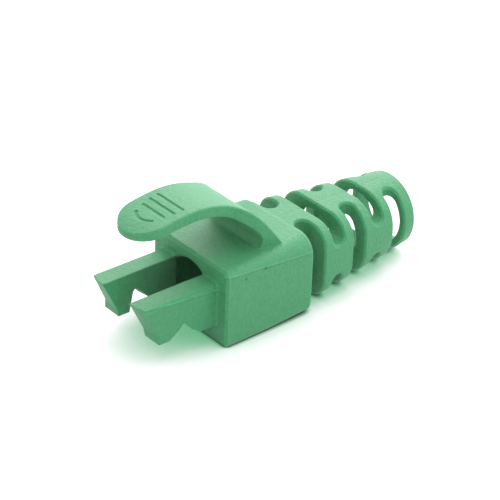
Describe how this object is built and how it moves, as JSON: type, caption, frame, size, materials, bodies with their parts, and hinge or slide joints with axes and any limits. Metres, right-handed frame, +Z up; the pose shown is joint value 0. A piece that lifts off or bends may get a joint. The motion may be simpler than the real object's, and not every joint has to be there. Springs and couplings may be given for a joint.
{
  "type": "modular plug strain relief boot",
  "caption": "Soft moulded boot for a modular data plug: square body, two hooked arms, an arched latch guard and a slotted, tapering cable tail.",
  "frame": {"origin": "middle of the bounding box at its base, on the plane that the body rests on", "axes": "+Y along the cable, towards the tail's end ring; the arms point to -Y; +Z up through the latch guard; X across the boot"},
  "size_m": [0.012, 0.0368, 0.0152],
  "materials": {
    "boot_plastic": "satin green soft plastic"
  },
  "bodies": {
    "root": {"boot": "boot_plastic"}
  },
  "joints": []
}
